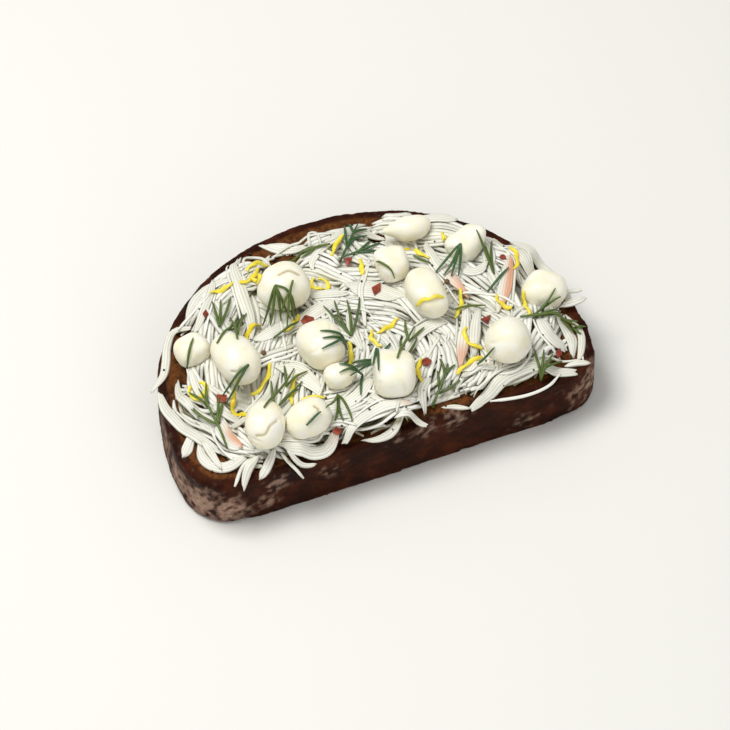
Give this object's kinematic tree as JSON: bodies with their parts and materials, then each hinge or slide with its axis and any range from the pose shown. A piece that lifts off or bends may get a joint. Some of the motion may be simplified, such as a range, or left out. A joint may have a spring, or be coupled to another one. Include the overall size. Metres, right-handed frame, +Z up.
{
  "type": "open sandwich",
  "caption": "Open sandwich: a thick slice of dark rye under a loose heap of shredded crab, with soft white cheese curds, dill sprigs, curls of lemon zest and chilli flakes.",
  "frame": {"origin": "on the underside of the rye slice, at the middle of its length and breadth", "axes": "+X along the slice's straight crust, +Y from there to its domed top crust, +Z up through the heap"},
  "size_m": [0.1575, 0.1015, 0.0441],
  "materials": {
    "rye": "matte baked crust and open crumb",
    "crab": "moist white fibres",
    "curd": "soft, smooth and moist",
    "dill": "fresh leaf"
  },
  "bodies": {
    "root": {"rye_slice": "rye", "crab_heap": "crab", "curd_01": "curd", "curd_02": "curd", "curd_03": "curd", "curd_04": "curd", "curd_05": "curd", "curd_06": "curd", "curd_07": "curd", "curd_08": "curd", "curd_09": "curd", "curd_10": "curd", "curd_11": "curd", "curd_12": "curd", "curd_13": "curd", "curd_14": "curd", "dill_01": "dill", "dill_02": "dill", "dill_03": "dill", "dill_04": "dill", "dill_05": "dill", "dill_06": "dill", "dill_07": "dill", "dill_08": "dill", "dill_09": "dill", "dill_10": "dill", "dill_11": "dill", "dill_12": "dill", "dill_13": "dill", "dill_14": "dill", "dill_15": "dill", "dill_16": "dill", "dill_17": "dill", "dill_18": "dill", "dill_19": "dill", "dill_20": "dill", "dill_21": "dill", "dill_22": "dill", "dill_23": "dill", "dill_24": "dill", "dill_25": "dill", "dill_26": "dill", "dill_27": "dill", "dill_28": "dill", "dill_29": "dill", "dill_30": "dill", "dill_31": "dill"}
  },
  "joints": []
}
